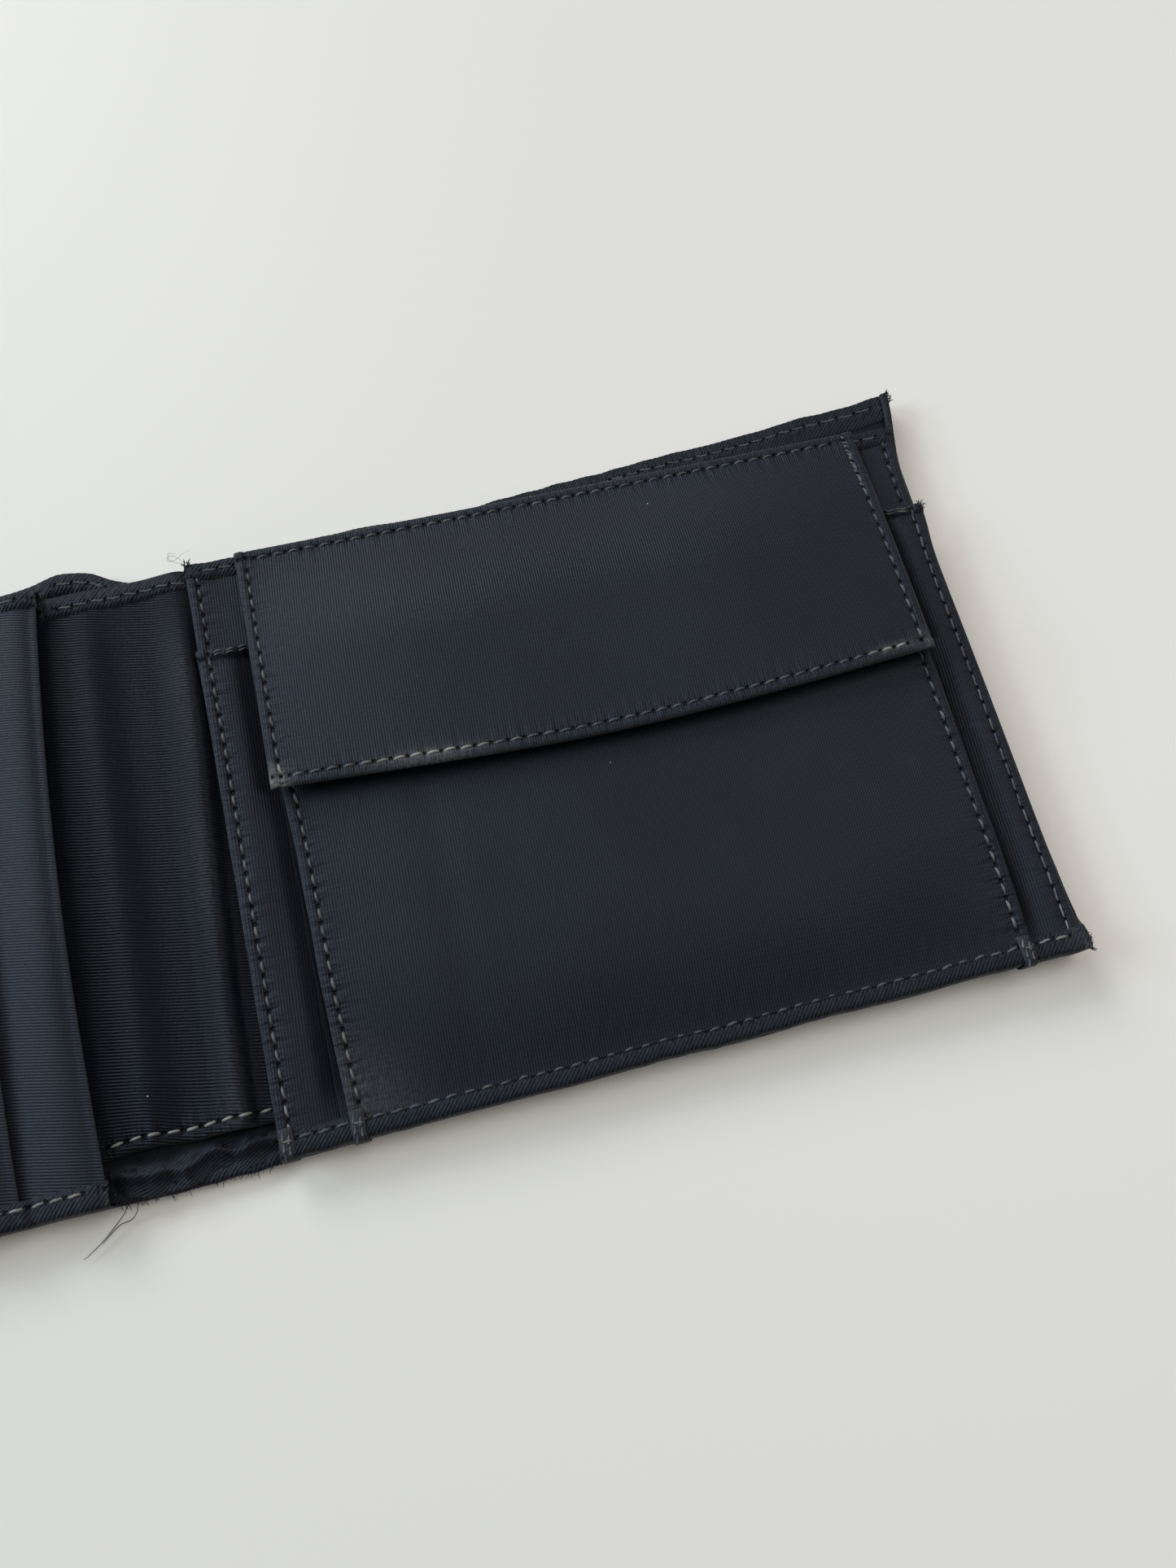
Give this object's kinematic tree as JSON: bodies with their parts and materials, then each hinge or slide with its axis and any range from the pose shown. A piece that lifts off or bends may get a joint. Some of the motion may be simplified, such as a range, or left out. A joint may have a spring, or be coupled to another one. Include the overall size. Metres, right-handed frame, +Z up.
{
  "type": "trifold wallet",
  "caption": "Trifold nylon wallet lying open: stiffened panels on two soft folds, full-height banknote compartment, stepped card slots and a gusseted coin pocket with a snap-down flap.",
  "frame": {"origin": "middle of the open wallet's footprint, on the surface that it lies on", "axes": "+X along the open wallet towards the coin panel, +Y towards the edge where banknotes go in, +Z up from the surface"},
  "size_m": [0.3916, 0.0984, 0.0117],
  "materials": {
    "nylon_twill": "black satin nylon twill with a blue cast",
    "lining_cloth": "matt black plain-weave nylon",
    "edging_tape": "bias-cut nylon twill, slightly worn and faded at the corners",
    "stiffener_board": "uncoated grey-brown fibre board",
    "snap_metal": "gunmetal-plated brass, satin"
  },
  "bodies": {
    "centre_panel": {"centre_shell": "nylon_twill", "centre_stiffener": "stiffener_board", "centre_shell_lining": "lining_cloth", "centre_inner_wall": "nylon_twill", "centre_card_slot_1": "nylon_twill", "centre_card_slot_2": "nylon_twill", "centre_card_slot_3": "nylon_twill", "centre_card_slot_4": "nylon_twill", "centre_shell_top_edging": "edging_tape", "centre_inner_top_edging": "edging_tape", "centre_bottom_edging": "edging_tape"},
    "left_fold": {"left_fold_shell": "nylon_twill", "left_fold_shell_lining": "lining_cloth", "left_fold_inner_lining": "nylon_twill", "left_fold_shell_top_edging": "edging_tape", "left_fold_shell_bottom_edging": "edging_tape", "left_fold_inner_top_edging": "edging_tape"},
    "left_panel": {"left_shell": "nylon_twill", "left_stiffener": "stiffener_board", "left_shell_lining": "lining_cloth", "left_inner_wall": "nylon_twill", "left_card_slot_1": "nylon_twill", "left_card_slot_2": "nylon_twill", "left_card_slot_3": "nylon_twill", "left_shell_top_edging": "edging_tape", "left_inner_top_edging": "edging_tape", "left_bottom_edging": "edging_tape", "left_end_edging": "edging_tape"},
    "coin_fold": {"coin_fold_shell": "nylon_twill", "coin_fold_shell_lining": "lining_cloth", "coin_fold_inner_lining": "nylon_twill", "coin_fold_shell_top_edging": "edging_tape", "coin_fold_shell_bottom_edging": "edging_tape", "coin_fold_inner_top_edging": "edging_tape"},
    "coin_panel": {"coin_shell": "nylon_twill", "coin_stiffener": "stiffener_board", "coin_shell_lining": "lining_cloth", "coin_inner_wall": "nylon_twill", "coin_gusset_base_left": "nylon_twill", "coin_gusset_base_right": "nylon_twill", "coin_shell_top_edging": "edging_tape", "coin_inner_top_edging": "edging_tape", "coin_bottom_edging": "edging_tape", "coin_end_edging": "edging_tape"},
    "coin_pocket": {"coin_pocket_front": "nylon_twill", "coin_pocket_lining": "lining_cloth", "coin_pocket_gusset_left": "nylon_twill", "coin_pocket_gusset_right": "nylon_twill", "snap_stud_rivet": "snap_metal", "snap_stud": "snap_metal"},
    "coin_flap": {"flap_outer": "nylon_twill", "flap_lining": "lining_cloth", "snap_socket": "snap_metal", "snap_socket_cap": "snap_metal"}
  },
  "joints": [
    {"name": "coin_fold_near", "type": "hinge", "parent": "centre_panel", "child": "coin_fold", "pos_m": [0.05063, 0, 0.0039], "axis": [0, -1, 0], "range_deg": [0, 90]},
    {"name": "coin_fold_far", "type": "hinge", "parent": "coin_fold", "child": "coin_panel", "pos_m": [0.07193, 0, 0.0039], "axis": [0, -1, 0], "range_deg": [0, 90]},
    {"name": "left_fold_near", "type": "hinge", "parent": "centre_panel", "child": "left_fold", "pos_m": [-0.07137, 0, 0.0039], "axis": [0, 1, 0], "range_deg": [0, 90]},
    {"name": "left_fold_far", "type": "hinge", "parent": "left_fold", "child": "left_panel", "pos_m": [-0.07777, 0, 0.0039], "axis": [0, 1, 0], "range_deg": [0, 90]},
    {"name": "flap_lift", "type": "hinge", "parent": "coin_panel", "child": "coin_flap", "pos_m": [0.134, 0.04305, 0.00475], "axis": [-1, 0, 0], "range_deg": [0, 160]},
    {"name": "pocket_gape", "type": "hinge", "parent": "coin_panel", "child": "coin_pocket", "pos_m": [0.134, -0.04595, 0.0042], "axis": [1, 0, 0], "range_deg": [0, 4]}
  ],
  "couplings": [
    {"joint": "coin_fold_far", "follows": "coin_fold_near", "ratio": 1},
    {"joint": "left_fold_far", "follows": "left_fold_near", "ratio": 1},
    {"joint": "pocket_gape", "follows": "flap_lift", "ratio": 0.025}
  ]
}
